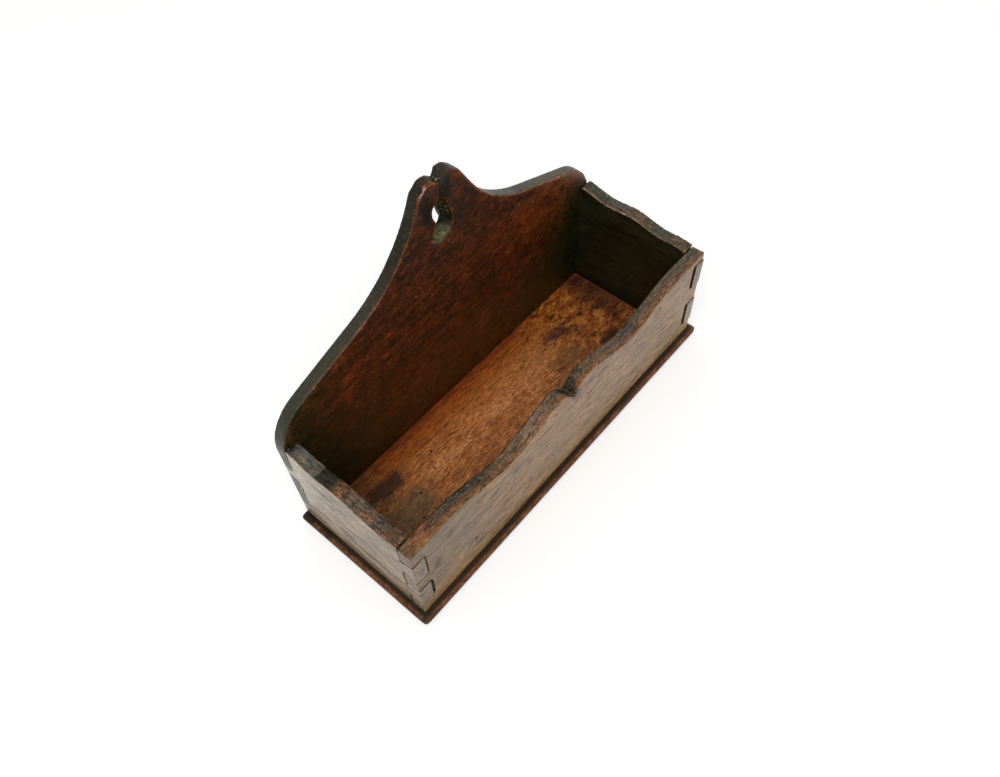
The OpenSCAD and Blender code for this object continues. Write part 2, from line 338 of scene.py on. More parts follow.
def agedWood(name, look):
    # one timber in layers: grain first, then zones of dirt, wear and stain, each laid over the last
    material, tree = newMaterial(name)
    place = addNode(tree, "TexCoord").outputs["Object"]
    spot = addNode(tree, "SeparateXYZ", {0: place}).outputs
    facing = addNode(tree, "SeparateXYZ", {0: addNode(tree, "NewGeometry").outputs["Normal"]}).outputs
    known = {"x": spot[0], "y": spot[1], "z": spot[2]}
    known.update({"facingX": facing[0], "facingY": facing[1], "facingZ": facing[2]})
    for key, source in (("outX", "x"), ("acrossX", "facingX"), ("acrossY", "facingY")):
        known[key] = addNode(tree, "Math", {0: known[source]}, operation="ABSOLUTE").outputs[0]
    for key in ("bare", "flake"):
        known[key] = addNode(tree, "Attribute", attribute_name=key).outputs["Fac"]
    for key, (length, width, detail, ragged) in look["grain"].items():
        scale = [1 / (mm * (length if axis == look["along"] else width)) for axis in range(3)]
        lay = addNode(tree, "Mapping", {"Vector": place, "Scale": scale})
        pattern = {"Scale": 1.0, "Detail": detail, "Roughness": ragged, "Distortion": timber["swirl"]}
        known[key] = addNode(tree, "TexNoise", {"Vector": lay.outputs[0], **pattern}).outputs["Fac"]

    def blended(shares, value):
        # several of the patterns added up, each by its share
        for key, share in shares.items():
            value = addNode(tree, "Math", {0: known[key], 1: share, 2: value}, operation="MULTIPLY_ADD").outputs[0]
        return value

    def centred(shares, middle):
        # the same, as a value around a middle
        return blended(shares, middle - sum(shares.values()) / 2)

    colour = addNode(tree, "ValToRGB", {"Fac": centred(look["mix"], 0.5)}, ramp=look["ramp"]).outputs["Color"]
    low, high = timber["patches"]
    smooth, dull = look["rough"]
    rough = addNode(tree, "MapRange", {
        "Value": known["patches"], "From Min": low, "From Max": high, "To Min": smooth, "To Max": dull}).outputs[0]
    gloss = look.get("gloss", timber["gloss"])

    for zone in look["zones"]:
        stir = zone.get("by", "patches")  # the pattern that makes the zone's edges ragged
        edges = []
        for key, low, high, *ragged in zone.get("where", []):
            unit = mm if key in ("x", "y", "z", "outX") else 1.0
            amount = ragged[0] * unit if ragged else 0.0
            source = blended({stir: amount}, known[key]) if amount else known[key]
            edges.append((source, low * unit + amount / 2, high * unit + amount / 2))
        if "oval" in zone:
            where, size, ragged = zone["oval"]
            middle, scale = [-w / s for w, s in zip(where, size)], [1 / (mm * s) for s in size]
            lay = addNode(tree, "Mapping", {"Vector": place, "Location": middle, "Scale": scale})
            reach = addNode(tree, "VectorMath", {0: lay.outputs[0]}, operation="LENGTH").outputs["Value"]
            reach = blended({stir: ragged}, reach)
            outer, inner = timber["stainEdge"]
            edges.append((reach, outer + ragged / 2, inner + ragged / 2))
        mask = zone.get("most", 1.0)
        for source, start, full in edges:
            part = addNode(tree, "MapRange", {"Value": source, "From Min": start, "From Max": full},
                           interpolation_type="SMOOTHSTEP").outputs[0]
            mask = addNode(tree, "Math", {0: part, 1: mask}, operation="MULTIPLY").outputs[0]

        shade = zone.get("shade", "patches")
        if isinstance(shade, tuple):  # colours that change along the board, in mm from end to end
            key, low, high, ragged = shade
            shift = blended({stir: ragged * mm}, known[key])
            run = addNode(tree, "MapRange", {
                "Value": shift, "From Min": (low + ragged / 2) * mm, "From Max": (high + ragged / 2) * mm}).outputs[0]
        else:
            run = known[shade]
        paint = addNode(tree, "ValToRGB", {"Fac": run}, ramp=zone["ramp"]).outputs["Color"]
        colour = addNode(tree, "Mix", {0: mask, 6: colour, 7: paint}, data_type="RGBA").outputs[2]
        if "rough" in zone:
            rough = addNode(tree, "Mix", {0: mask, 2: rough, 3: zone["rough"]}, data_type="FLOAT").outputs[0]
        if "gloss" in zone:
            gloss = addNode(tree, "Mix", {0: mask, 2: gloss, 3: zone["gloss"]}, data_type="FLOAT").outputs[0]

    # open pores and grit over everything, lighter and darker by turns
    grit = addNode(tree, "Math", {0: centred(look["grit"], 1.0), 1: timber["gritLeast"]}, operation="MAXIMUM")
    gritty = addNode(tree, "Mix", {0: 1.0, 6: colour, 7: grit.outputs[0]}, data_type="RGBA", blend_type="MULTIPLY")

    low, high = timber["pores"]
    relief = addNode(tree, "MapRange", {
        "Value": known["pores"], "From Min": low, "From Max": high, "To Max": timber["poreDepth"]}).outputs[0]
    relief = blended(timber["fuzz"], relief)
    height = timber["reliefHeight"] * mm
    bump = addNode(tree, "Bump", {"Strength": look["relief"], "Distance": height, "Height": relief})
    wood = addNode(tree, "BsdfPrincipled", {
        "Base Color": gritty.outputs[2], "Roughness": rough, "IOR": timber["ior"], "Specular IOR Level": gloss,
        "Specular Tint": hexColour(timber["waxTint"]), "Normal": bump.outputs[0]})
    addNode(tree, "OutputMaterial", {"Surface": wood.outputs[0]})
    return material


def finishBoard(board, node, sharpFrom=50):
    board.data.shade_smooth()
    board.data.set_sharp_from_angle(angle=math.radians(sharpFrom))
    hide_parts(node)
    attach(board, "root")
    print(board.name, "done:", len(board.data.polygons), "faces")


# the timber's own pattern: length along the grain and width across it in mm, then detail and raggedness
# (pores are drawn wider than life, so that they show)
hardwoodGrain = {
    "bands": (110, 9, 3, 0.6), "fibres": (14, 0.9, 4, 0.68), "pores": (18, 1.1, 2, 0.6), "lines": (60, 1.4, 3, 0.6),
    "patches": (20, 10, 9, 0.7), "specks": (1.8, 1.1, 3, 0.7), "streaks": (9, 1.6, 6, 0.7), "mottle": (8, 4, 10, 0.85),
}

# A look's zones: where (a place in mm, a facing or a pattern, none to full, and how ragged) or an oval patch (middle,
# half sizes, raggedness), the most that it covers, what stirs its edges, and the ramp of colours that a pattern picks.


# the back board's shape, in mm: what hands reach, and the hanging hole, which runs back to a smaller bore
backForm = {
    "faces": 0.08, "shoulders": 0.5, "shouldersFrom": (74, 84), "crest": 0.4, "crestFrom": (140, 150),
    "rear": 0.2, "frontFrom": (45.5, 42.5), "rimMiddle": (-1.8, 138), "rimTall": 0.75, "rim": 0.75, "rimReach": (14, 9),
    "cleftWide": (3.0, 1.0), "cleftFrom": (154, 157), "cleftSpared": 0.75,
    "holeMiddle": (-1.8, 135.8), "holeWithin": (9, 120, 152), "rearFrom": 46,
    "boreMiddle": (-2.2, 135.8), "boreHalf": (6.2, 7.4),
    "mouthFrom": (45.5, 40.5), "flank": (19, 149), "flankOut": (0.832, 0.555), "flankReach": (14, 6),
    "flankFuller": 1.3, "cleftLean": 1.5, "leanFrom": (40, 46), "leanReach": 4, "leanAbove": (152, 157),
}
# where the saw and knife strayed: a spot as x and z, its reach, its move, and whether at the hole's mouth or behind
backStrays = [
    ((-8.5, 137.4), (3.4, 4.4), (4.0, 0), "all"),  # a swelling on the hole's left
    ((-7.2, 145), (3.0, 3.6), (0.9, 0), "all"),
    ((1.8, 124.0), (4.4, 4.0), (-0.4, 2.6), "all"),  # its flatter foot
    ((4.6, 137.5), (3.0, 6.5), (1.8, 0), "mouth"),  # its right edge, wider in front than behind
    ((4.0, 137.5), (3.0, 6.5), (-0.6, 0), "behind"),
    ((-6.0, 149.6), (3.0, 3.0), (0.9, -1.1), "all"),
    ((-11.0, 161.4), (2.6, 2.6), (0.5, -0.9), "all"),  # the lobes, one fuller than the other
    ((11.8, 161.6), (2.8, 4.0), (0, -1.2), "all"),
    ((3.4, 161.0), (1.9, 3.0), (-0.3, 1.5), "all"),
    ((-3.2, 162.2), (2.2, 2.4), (0.3, 0.5), "all"),
]


def backHandled(p):
    x, y, z = p.T
    form = backForm
    rimX, rimZ = form["rimMiddle"]
    top = form["faces"] + form["shoulders"] * ease(*form["shouldersFrom"], z)
    top = top + form["crest"] * ease(*form["crestFrom"], z)
    top = top * (form["rear"] + (1 - form["rear"]) * ease(*form["frontFrom"], y))
    hole = ease(*form["rimReach"], np.hypot(x - rimX, (z - rimZ) * form["rimTall"]))
    cleft = ease(*form["cleftWide"], np.abs(x)) * ease(*form["cleftFrom"], z)
    return np.maximum(top, form["rim"] * hole) * (1 - form["cleftSpared"] * cleft)


def taperHole(bm):
    # the egg-shaped mouth runs back to a smaller bore
    middleX, middleZ = backForm["holeMiddle"]
    boreX, boreZ = backForm["boreMiddle"]
    halfX, halfZ = backForm["boreHalf"]
    beside, lowest, highest = backForm["holeWithin"]
    for v in bm.verts:
        p = v.co / mm
        if p.y > backForm["rearFrom"] and abs(p.x - middleX) < beside and lowest < p.z < highest:
            way = Vector((p.x - middleX, 0, p.z - middleZ)).normalized()
            v.co.x, v.co.z = (way.x * halfX + boreX) * mm, (way.z * halfZ + boreZ) * mm


def handCut(p):
    # the hole's uneven edge, a fuller right flank and a slanting narrow cleft
    x, y, z = p.T
    shift = np.zeros_like(p)
    mouth = ease(*backForm["mouthFrom"], y)
    depths = {"all": 1.0, "mouth": mouth, "behind": 1 - mouth}
    for spot, reach, move, depth in backStrays:
        near = depths[depth] * np.exp(-((x - spot[0]) / reach[0]) ** 2 - ((z - spot[1]) / reach[1]) ** 2)
        shift[:, 0] += move[0] * near
        shift[:, 2] += move[1] * near
    (flankX, flankZ), (outX, outZ) = backForm["flank"], backForm["flankOut"]
    along = outZ * (x - flankX) - outX * (z - flankZ)
    away = outX * (x - flankX) + outZ * (z - flankZ)
    reachAlong, reachAway = backForm["flankReach"]
    flank = backForm["flankFuller"] * np.exp(-(along / reachAlong) ** 2) * np.exp(-(away / reachAway) ** 2)
    lean = backForm["cleftLean"] * ease(*backForm["leanFrom"], y) * np.exp(-(x / backForm["leanReach"]) ** 2)
    shift[:, 0] += outX * flank + lean * ease(*backForm["leanAbove"], z)
    shift[:, 2] += outZ * flank
    return shift


backSkin = {
    "step": 0.55, "turns": 36, "handled": backHandled, "patch": (16, 8, 16), "hollow": 0.12, "hollowSize": (40, 20, 14),
    "thick": 1, "edgeFrom": (72, 80), "flakeSize": (4, 2, 4), "flake": 0.12, "bareAt": 1.0, "triangles": 170000,
    "reshape": taperHole, "nudge": handCut,
}
backTop = [("acrossY", 0.85, 0.5), ("z", 72, 80)]
# waxed hardwood, hand planed: dark red brown under old wax, olive black painted shade in the corners,
# arrises rubbed to orange
backLook = {
    "along": 0, "grain": dict(hardwoodGrain, patches=(9, 7, 10, 0.78)),
    "mix": {"bands": 0.4, "fibres": 0.7, "patches": 1.0, "specks": 0.25}, "grit": {"fibres": 2.4, "specks": 3.6},
    "ramp": [(0.2, "#100903"), (0.42, "#2e1505"), (0.58, "#562209"), (0.8, "#863810")],
    "rough": (0.32, 0.48), "relief": 0.45,
    "zones": [
        # dark pores, olive black low down, painted shade with some grime, and a lighter line of grain here and there
        {"where": [("pores", 0.61, 0.65)], "most": 0.6, "ramp": [(0.4, "#0e0803"), (0.6, "#180c04")]},
        {"where": [("z", 64, 8, 44)], "most": 0.6, "ramp": [(0.35, "#1a1908"), (0.65, "#4c3a12")]},
        {"where": [("lines", 0.55, 0.64), ("z", 112, 84, 40)], "most": 0.45, "shade": "fibres",
         "ramp": [(0.35, "#481c08"), (0.65, "#8c4418")]},
        # olive black towards the ends and in the low corners: painted shade
        {"where": [("outX", 44, 66, 30), ("z", 84, 30, 30)], "most": 0.65,
         "ramp": [(0.35, "#0f1606"), (0.65, "#282a0c")]},
        {"where": [("x", -66, -106, 40)], "most": 0.78, "ramp": [(0.35, "#0f1706"), (0.65, "#28290c")]},
        {"where": [("x", 66, 106, 40)], "most": 0.7, "ramp": [(0.35, "#121606"), (0.65, "#2e2e10")]},
        # end grain of the tails
        {"where": [("acrossX", 0.5, 0.8), ("z", 80, 72)], "most": 0.85, "shade": "specks",
         "ramp": [(0.35, "#0a0a05"), (0.5, "#1c190f"), (0.65, "#443a2a")]},
        # a rubbed patch under the right shoulder, and painted shade in the corner beside it
        {"oval": ((80, 39, 90), (46, 30, 24), 1.0), "most": 0.6, "ramp": [(0.4, "#4a1f08"), (0.6, "#8a4014")]},
        {"where": [("x", 86, 104, 16), ("z", 94, 78, 12)], "most": 0.8,
         "ramp": [(0.35, "#0e1707"), (0.65, "#22280e")]},
        # the crest, greasy from hands
        {"where": [("z", 106, 140, 30)], "most": 0.8, "gloss": 0.15, "shade": "mottle",
         "ramp": [(0.38, "#0c0904"), (0.5, "#231306"), (0.62, "#642c0c")]},
        # black spots of old wax, and orange ones where it is gone
        {"where": [("mottle", 0.48, 0.43), ("facingY", 0, -0.4)], "most": 0.7, "gloss": 0.3,
         "ramp": [(0.4, "#080602"), (0.6, "#150c04")]},
        {"where": [("mottle", 0.54, 0.58), ("z", 40, 90, 40), ("facingY", 0, -0.4)], "most": 0.4, "shade": "specks",
         "ramp": [(0.4, "#5c240a"), (0.6, "#923e12")]},
        # stains around the cleft and the hole
        {"oval": ((-9.4, 39.5, 150), (6, 8, 9), 1.2), "by": "mottle", "most": 0.95, "gloss": 0.15,
         "ramp": [(0.4, "#060605"), (0.6, "#160e08")]},
        {"oval": ((3, 39.5, 154), (4.5, 8, 9), 1.4), "by": "mottle", "most": 0.9, "gloss": 0.15,
         "ramp": [(0.4, "#070706"), (0.6, "#1a120b")]},
        {"oval": ((9, 39.5, 134), (8, 8, 7), 2.2), "by": "mottle", "most": 0.75, "gloss": 0.3,
         "ramp": [(0.4, "#0a0905"), (0.6, "#241408")]},
        # the rear, dry and never waxed
        {"where": [("facingY", 0.3, 0.7)], "most": 0.85, "rough": 0.75, "shade": "fibres",
         "ramp": [(0.35, "#3e2c1f"), (0.65, "#6d523c")]},
        # the top edge, from the left end to the right, with scuffs and black streaks
        {"where": backTop, "by": "mottle", "shade": ("x", -120, 120, 50),
         "ramp": [(0.0, "#0a0f0b"), (0.2, "#15130b"), (0.35, "#100f08"), (0.47, "#12100a"), (0.5, "#040605"),
                  (0.54, "#080b09"), (0.6, "#0e130f"), (0.75, "#181810"), (0.86, "#33210f"), (1.0, "#3c2412")]},
        {"where": backTop + [("specks", 0.54, 0.66)], "most": 0.5, "shade": "mottle",
         "ramp": [(0.4, "#2a2e20"), (0.6, "#4c4632")]},
        {"where": backTop + [("streaks", 0.54, 0.62)], "most": 0.6, "ramp": [(0.4, "#040604"), (0.6, "#0a0d08")]},
        # arrises rubbed to orange, a pink painted highlight on the left lobe and soot on the right one
        {"where": [("bare", 0.1, 0.42, 0.4), ("facingY", 0.15, -0.2), ("z", 72, 80), ("x", -112, -52, 30)],
         "by": "mottle", "most": 0.85, "shade": "mottle",
         "ramp": [(0.36, "#220e04"), (0.5, "#6a3010"), (0.64, "#a86028")]},
        {"where": [("bare", 0.12, 0.4)], "oval": ((-10, 40.5, 160), (3.5, 3, 5), 1.2), "by": "mottle", "most": 0.8,
         "ramp": [(0.4, "#8a5844"), (0.6, "#c09480")]},
        {"oval": ((3, 40, 160), (3.2, 5, 5), 1.2), "by": "mottle", "most": 0.9, "gloss": 0.3,
         "ramp": [(0.4, "#06080a"), (0.6, "#12110e")]},
        # the walls of the cleft, dark, with pale specks painted as glints along its foot, and of the hole
        {"where": [("outX", 2.4, 1.4), ("z", 155, 157), ("acrossY", 0.9, 0.6)], "most": 0.8, "shade": "specks",
         "ramp": [(0.42, "#0a0d09"), (0.54, "#2c2a1c"), (0.64, "#8e866a")]},
        {"oval": ((-1.8, 42.5, 127), (9, 6, 4.5), 0.9), "by": "mottle", "most": 0.8, "shade": "mottle",
         "ramp": [(0.38, "#1c1e10"), (0.5, "#4c4c2e"), (0.64, "#8f8a60")]},
        {"oval": ((3.5, 42, 141), (4, 5, 9), 0.9), "by": "mottle", "most": 0.85, "shade": "specks",
         "ramp": [(0.4, "#0a0c08"), (0.54, "#1c1c12"), (0.64, "#68664c")]},
    ],
}

backBoard = fineBoard("back_board", "backBoard", backSkin)
wearDown(backBoard, backSkin)
backBoard.data.materials.append(agedWood("waxedHardwoodBack", backLook))
cutMarks(backBoard, [crackBlade([(0.6, 39.5, 162), (0.2, 39.5, 157), (-0.4, 39.5, 149)], 0.5, 9, right, front)])
finishBoard(backBoard, "back_board")

# hands reach the front's top edge, which stands higher at its two corners
frontForm = {"faces": 0.1, "top": 0.55, "corners": (108, 111), "cornerTop": (68.5, 70.5), "waveTop": (60.0, 62.0)}


def frontHandled(p):
    corner = ease(*frontForm["corners"], np.abs(p[:, 0]))
    top = corner * ease(*frontForm["cornerTop"], p[:, 2]) + (1 - corner) * ease(*frontForm["waveTop"], p[:, 2])
    return frontForm["faces"] + frontForm["top"] * top


frontSkin = {
    "step": 0.5, "turns": 24, "handled": frontHandled, "patch": (18, 5, 8), "hollow": 0.16, "hollowSize": (60, 20, 12),
    "thick": 1, "edgeFrom": (61, 62), "flakeSize": (5, 1.6, 4), "flake": 0.2, "bareAt": 0.8, "triangles": 150000,
}
frontTop = [("acrossY", 0.75, 0.45), ("z", 61, 62)]
# the same hardwood, bleached by daylight outside: taupe with fine dark pores, tan low down, black grease along the top
frontLook = {
    "along": 0,
    "grain": dict(hardwoodGrain, patches=(26, 9, 9, 0.68), pores=(10, 1.0, 2, 0.6), lines=(36, 1.2, 3, 0.6)),
    "mix": {"bands": 0.4, "fibres": 0.9, "patches": 0.9}, "grit": {"fibres": 2.2, "specks": 2.0},
    "ramp": [(0.2, "#50391e"), (0.45, "#7c5b36"), (0.6, "#946f48"), (0.8, "#ac8b64")],
    "rough": (0.28, 0.42), "relief": 0.6,
    "zones": [
        # warm patches and grey bands
        {"where": [("patches", 0.5, 0.62)], "most": 0.45, "shade": "fibres",
         "ramp": [(0.35, "#8a5c3c"), (0.65, "#b48a68")]},
        {"where": [("bands", 0.54, 0.66)], "most": 0.4, "shade": "fibres",
         "ramp": [(0.35, "#4c3e2a"), (0.65, "#786446")]},
        # tan low down, painted lighter there against the shade of the base's nose, grey at the upper left, warm in the
        # middle
        {"where": [("z", 26, 8, 20)], "most": 0.6, "shade": "fibres", "ramp": [(0.3, "#8c6c46"), (0.7, "#c09e72")]},
        {"where": [("z", 6, 40, 30), ("x", -50, -104, 50)], "most": 0.65, "shade": "fibres",
         "ramp": [(0.3, "#423424"), (0.7, "#6a5840")]},
        {"where": [("z", 26, 44, 20), ("x", -60, -20, 40), ("x", 70, 30, 40)], "most": 0.25, "shade": "fibres",
         "ramp": [(0.3, "#8c6444"), (0.7, "#b88e68")]},
        # dark pores and lines
        {"where": [("pores", 0.585, 0.63)], "most": 0.8, "gloss": 0.05, "ramp": [(0.4, "#1c120a"), (0.6, "#2c1e12")]},
        {"where": [("lines", 0.61, 0.65)], "most": 0.8, "gloss": 0.05, "ramp": [(0.4, "#1c120a"), (0.6, "#2c1e12")]},
        # the inside, dark brown
        {"where": [("facingY", 0.3, 0.7)], "most": 0.9, "rough": 0.4, "shade": "fibres",
         "ramp": [(0.35, "#1c1109"), (0.65, "#3a2212")]},
        # the top edge, from the left end to the right
        {"where": frontTop, "by": "mottle", "gloss": 0.5, "shade": ("x", -120, 120, 60),
         "ramp": [(0.0, "#54402f"), (0.04, "#80481f"), (0.09, "#744020"), (0.13, "#2c2010"), (0.19, "#1c180f"),
                  (0.23, "#4a3014"), (0.29, "#5c4834"), (0.36, "#6c5644"), (0.43, "#705440"), (0.48, "#1c180e"),
                  (0.53, "#080906"), (0.57, "#5c3c1c"), (0.65, "#4c3620"), (0.72, "#26282a"), (0.78, "#4a3c2a"),
                  (0.85, "#4c4034"), (1.0, "#342e22")]},
        # black grease along its inside near the left end, orange along its outside
        {"where": frontTop + [("y", -41, -38.5, 6), ("x", -60, -70, 30), ("x", -106, -98, 10)], "by": "mottle",
         "most": 0.75, "shade": "mottle", "ramp": [(0.4, "#0a0e0a"), (0.6, "#2c2a1a")]},
        {"where": frontTop + [("y", -38.5, -40.5, 6)], "by": "mottle", "most": 0.7, "shade": "mottle",
         "ramp": [(0.38, "#341c0c"), (0.5, "#6c3c1a"), (0.62, "#9a6236")]},
        # pale specks on it, painted highlights, and black streaks
        {"where": frontTop + [("specks", 0.53, 0.6)], "most": 0.45, "shade": "mottle",
         "ramp": [(0.4, "#5c4634"), (0.6, "#967860")]},
        {"where": frontTop + [("streaks", 0.53, 0.58)], "most": 0.7, "gloss": 0.25,
         "ramp": [(0.4, "#0d0d08"), (0.6, "#20180c")]},
        # its outer arris rubbed to orange, its inner one black
        {"where": [("bare", 0.2, 0.5, 0.4), ("z", 60, 62), ("y", -39, -41.5)], "by": "mottle", "most": 0.85,
         "shade": "mottle", "ramp": [(0.38, "#3c1f0b"), (0.5, "#7a4a20"), (0.62, "#a0703c")]},
        {"where": [("bare", 0.15, 0.4, 0.2), ("z", 60, 62), ("y", -37.5, -35.8)], "by": "mottle", "most": 0.85,
         "gloss": 0.2, "ramp": [(0.4, "#090805"), (0.6, "#1c150c")]},
        # grease in the notch
        {"oval": ((3, -39, 62.5), (5, 20, 6), 0.9), "by": "mottle", "most": 0.9, "shade": "mottle",
         "ramp": [(0.4, "#060805"), (0.52, "#181a12"), (0.64, "#5a5440")]},
        # end grain of the pins
        {"where": [("acrossX", 0.5, 0.8), ("z", 64, 62)], "most": 0.8, "shade": "specks",
         "ramp": [(0.35, "#4c3e30"), (0.5, "#6a5a48"), (0.65, "#8c7a64")]},
    ],
}

frontFace = -43.2
frontPits = [  # x, z and half sizes in mm
    (-79, 26, (1.7, 0.6, 0.8)), (-16.4, 26.6, (1.0, 0.5, 0.5)), (-53.4, 47, (1.4, 0.5, 0.4)),
    (77.8, 62, (0.8, 0.5, 0.5)), (104, 57, (0.9, 0.5, 0.6)),
]
frontBoard = fineBoard("front_board", "frontBoard", frontSkin)
wearDown(frontBoard, frontSkin)
frontBoard.data.materials.append(agedWood("waxedHardwoodFront", frontLook))
cutMarks(frontBoard, [
    pitBlade([((x, frontFace, z), size) for x, z, size in frontPits], front),
    crackBlade([(-110.9, frontFace, 31), (-110.6, frontFace, 24), (-111, frontFace, 17)], 1.8, 4, right, front),
])
finishBoard(frontBoard, "front_board")

# the sides, in mm: what hands reach; on the right, shifted tails and an edge left higher and leaning out
sideForm = {
    "faces": 0.1, "topFrom": (67.0, 69.5), "leftTop": 0.55, "rightOuter": 0.05, "rightInner": 1.0,
    "innerFrom": (118, 115), "tailsPast": -43, "tailsProud": 0.6, "rise": 1.7, "lean": 0.5, "riseFrom": (60, 70),
    "frontEnd": (-35.0, -34.0), "backEnd": (39.8, 38.8), "frontShare": 0.4, "fullFrom": (-34, -24),
}
sideEdge = {"y": [-34.6, -18, 5, 18, 39.5], "z": [72, 71.2, 75.1, 74.2, 77.8]}  # along the scalloped top


def sideTopAt(x, y):
    return (x, y, float(np.interp(y, sideEdge["y"], sideEdge["z"])))


def leftHandled(p):
    return sideForm["faces"] + sideForm["leftTop"] * ease(*sideForm["topFrom"], p[:, 2])


def rightHandled(p):
    # its inner arris is rubbed right down, the outer one is still crisp
    across = sideForm["rightOuter"] + sideForm["rightInner"] * ease(*sideForm["innerFrom"], p[:, 0])
    return sideForm["faces"] + ease(*sideForm["topFrom"], p[:, 2]) * across


def proudTails(bm):
    for v in bm.verts:
        if v.co.y < sideForm["tailsPast"] * mm:
            v.co.y -= sideForm["tailsProud"] * mm


def rightRise(p):
    shift = np.zeros_like(p)
    reach = ease(*sideForm["riseFrom"], p[:, 2]) * ease(*sideForm["frontEnd"], p[:, 1])
    reach = reach * (sideForm["frontShare"] + (1 - sideForm["frontShare"]) * ease(*sideForm["fullFrom"], p[:, 1]))
    reach = reach * ease(*sideForm["backEnd"], p[:, 1])
    shift[:, 2] = sideForm["rise"] * reach
    shift[:, 0] = sideForm["lean"] * reach
    return shift


leftSkin = {
    "step": 0.5, "turns": 24, "handled": leftHandled, "patch": (5, 12, 8), "hollow": 0.16, "hollowSize": (20, 40, 12),
    "thick": 0, "edgeFrom": (67.5, 69), "flakeSize": (1.6, 3.4, 3), "flake": 0.45, "bareAt": 0.8, "triangles": 130000,
}
sideTop = [("acrossX", 0.75, 0.45), ("z", 67.5, 69)]
# both sides' outer faces
sideOutside = [
    # browner towards the front; palest at the upper back, where a reflection is painted
    {"where": [("y", 12, -30, 40)], "most": 0.5, "shade": "fibres", "ramp": [(0.3, "#5c442c"), (0.7, "#9c7c60")]},
    {"where": [("y", 14, 30, 16), ("z", 22, 34, 16)], "most": 0.5, "shade": "fibres",
     "ramp": [(0.3, "#988a7a"), (0.7, "#beb09e")]},
    # grey green smears
    {"where": [("smears", 0.49, 0.6), ("z", 28, 40, 20), ("y", 34, 20, 16)], "most": 0.85, "gloss": 0.3,
     "shade": "fibres", "ramp": [(0.35, "#2e2c24"), (0.65, "#5e5946")]},
    # dark pores and lines
    {"where": [("pores", 0.6, 0.64)], "most": 0.7, "gloss": 0.1, "ramp": [(0.4, "#1c140c"), (0.6, "#30261a")]},
    {"where": [("lines", 0.63, 0.67)], "most": 0.6, "gloss": 0.1, "ramp": [(0.4, "#1c140c"), (0.6, "#30261a")]},
    # painted shade low down, above the base's nose: darker brown and duller
    {"where": [("z", 18, 5, 8)], "most": 0.62, "rough": 0.55, "gloss": 0.25, "shade": "fibres",
     "ramp": [(0.35, "#2c1e10"), (0.65, "#564028")]},
]
# waxed hardwood with the polish gone pale grey on the outside, in streaks, and flaked along the top
leftLook = {
    "along": 1, "grain": dict(hardwoodGrain, patches=(26, 8, 9, 0.68), smears=(26, 4.5, 6, 0.66)),
    "mix": {"bands": 0.6, "fibres": 0.7, "patches": 0.9}, "grit": {"fibres": 2.6, "specks": 2.6},
    "ramp": [(0.2, "#4a3c2c"), (0.4, "#82705a"), (0.6, "#a8947c"), (0.8, "#ccbaa2")],
    "rough": (0.26, 0.4), "relief": 0.6,
    "zones": sideOutside + [
        # the inside, near black
        {"where": [("facingX", 0.3, 0.7)], "most": 0.92, "rough": 0.38, "shade": "fibres", "gloss": 0.45,
         "ramp": [(0.35, "#120c06"), (0.65, "#28180c")]},
        # the top edge, from the back to the front
        {"where": sideTop, "by": "mottle", "gloss": 0.5, "shade": ("y", 40, -36, 16),
         "ramp": [(0.0, "#0c1012"), (0.05, "#1c2022"), (0.09, "#464846"), (0.2, "#464440"), (0.27, "#4a443c"),
                  (0.29, "#070a06"), (0.38, "#0e0f08"), (0.43, "#4a2a10"), (0.5, "#5c3a1e"), (0.57, "#564638"),
                  (0.64, "#443c34"), (0.72, "#40342a"), (0.8, "#46301c"), (0.88, "#442c18"), (1.0, "#40301f")]},
        # a black patch before the crack
        {"where": sideTop + [("y", 8, 10, 3), ("y", 19, 18.6)], "by": "mottle", "most": 0.85, "gloss": 0.2,
         "shade": "mottle", "ramp": [(0.4, "#080b08"), (0.56, "#1a1c14"), (0.66, "#5c4430")]},
        # brown scuffs at the back of it, and rust brown flakes with black between them further on
        {"where": sideTop + [("mottle", 0.54, 0.57), ("y", 18, 22)], "most": 0.6, "shade": "specks",
         "ramp": [(0.35, "#6a4028"), (0.65, "#96705a")]},
        {"where": sideTop + [("mottle", 0.51, 0.55), ("y", 12, 6)], "most": 0.85, "shade": "specks",
         "ramp": [(0.35, "#5e2c14"), (0.65, "#90583a")]},
        {"where": sideTop + [("mottle", 0.47, 0.44), ("y", 14, 8)], "most": 0.85, "gloss": 0.25, "shade": "specks",
         "ramp": [(0.35, "#0a0c0a"), (0.65, "#26221b")]},
        {"where": sideTop + [("patches", 0.52, 0.58), ("y", 12, 6)], "by": "mottle", "most": 0.5, "shade": "specks",
         "ramp": [(0.35, "#20241f"), (0.65, "#585850")]},
        # broken flakes, and the arris rubbed to orange
        {"where": [("flake", 0.3, 0.8)], "most": 0.6, "shade": "specks",
         "ramp": [(0.35, "#10120d"), (0.65, "#4c3422")]},
        {"where": [("bare", 0.25, 0.55, 0.5), ("z", 66, 68), ("facingX", 0.2, -0.1)], "by": "mottle", "most": 0.8,
         "shade": "mottle", "ramp": [(0.38, "#241008"), (0.52, "#5c2e14"), (0.64, "#94603a")]},
        # end grain of the tails
        {"where": [("acrossY", 0.5, 0.8), ("z", 66, 64)], "most": 0.7, "shade": "specks",
         "ramp": [(0.35, "#4a4234"), (0.65, "#80705a")]},
    ],
}

leftFace = -120
# the long split across the left face: spots as y and z
longSplit = [
    (39, 21.5), (30, 24.4), (22, 25.6), (8, 24), (-7, 22.5), (-15, 25), (-22, 24.6), (-29, 25.5), (-37, 26), (-45, 27),
]
